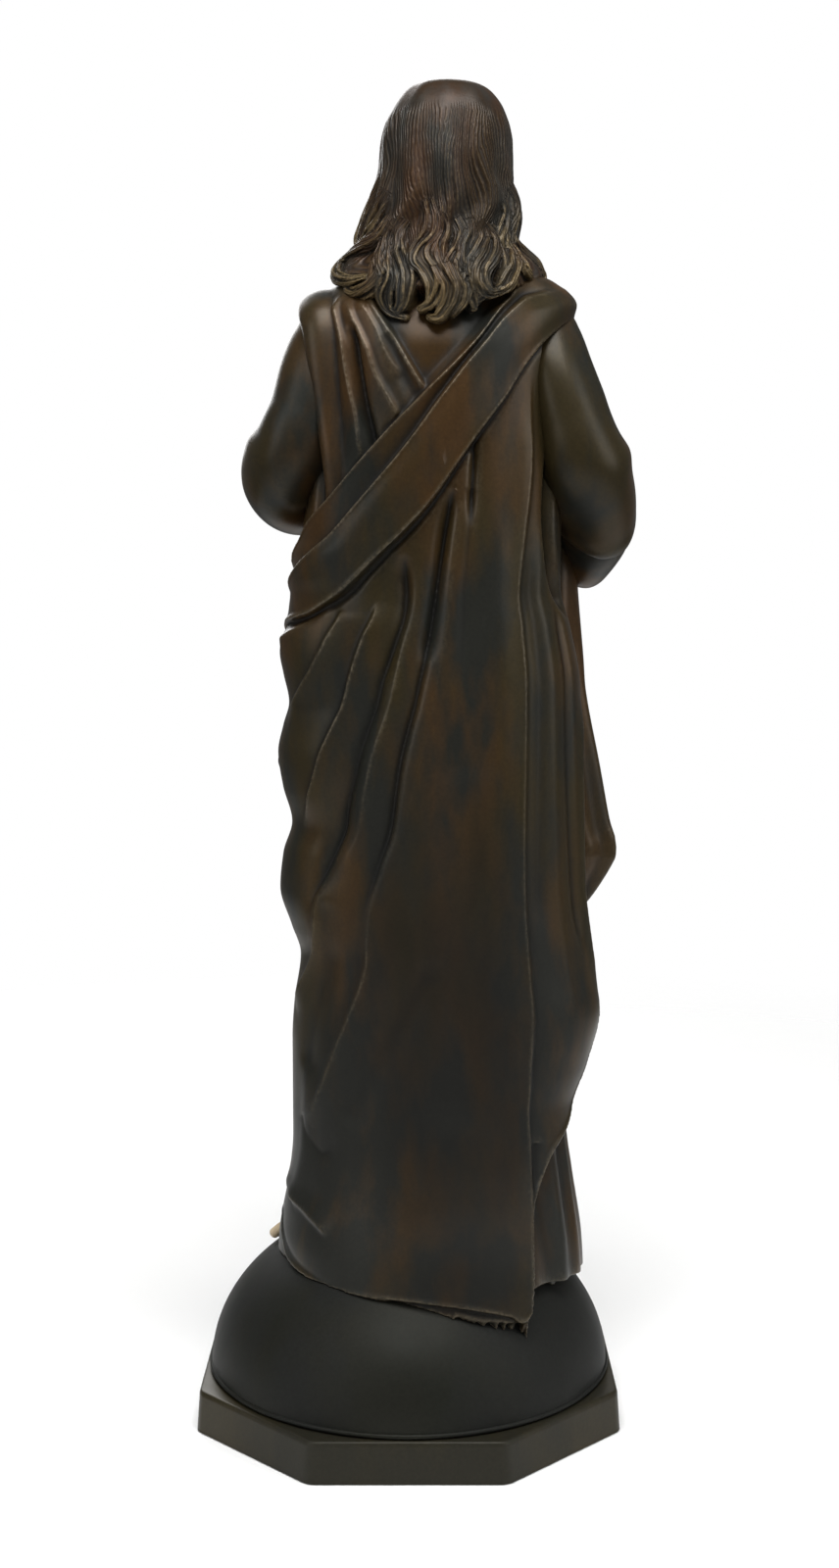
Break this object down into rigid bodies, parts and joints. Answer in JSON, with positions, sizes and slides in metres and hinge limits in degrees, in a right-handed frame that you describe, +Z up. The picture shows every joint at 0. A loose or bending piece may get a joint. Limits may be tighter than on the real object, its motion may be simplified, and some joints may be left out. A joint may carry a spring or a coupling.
{
  "type": "sacred heart statue",
  "caption": "Robed, bearded figure with a heart on its breast, standing on a half globe on an octagonal plinth: a patinated metal statuette that stands by its own weight.",
  "frame": {"origin": "middle of the plinth's underside, where the statue stands", "axes": "+Z up; the figure faces -Y and its left side is +X"},
  "size_m": [0.1496, 0.1428, 0.4498],
  "materials": {
    "plinth_bronze": "dark olive-brown patina, satin",
    "globe_bronze": "near-black patina, satin",
    "figure_bronze": "dark brown patina worn paler on the fold edges, satin",
    "flesh_paint": "aged cream cold paint, matte"
  },
  "bodies": {
    "root": {"plinth": "plinth_bronze", "globe": "globe_bronze", "figure": "figure_bronze"}
  },
  "joints": []
}
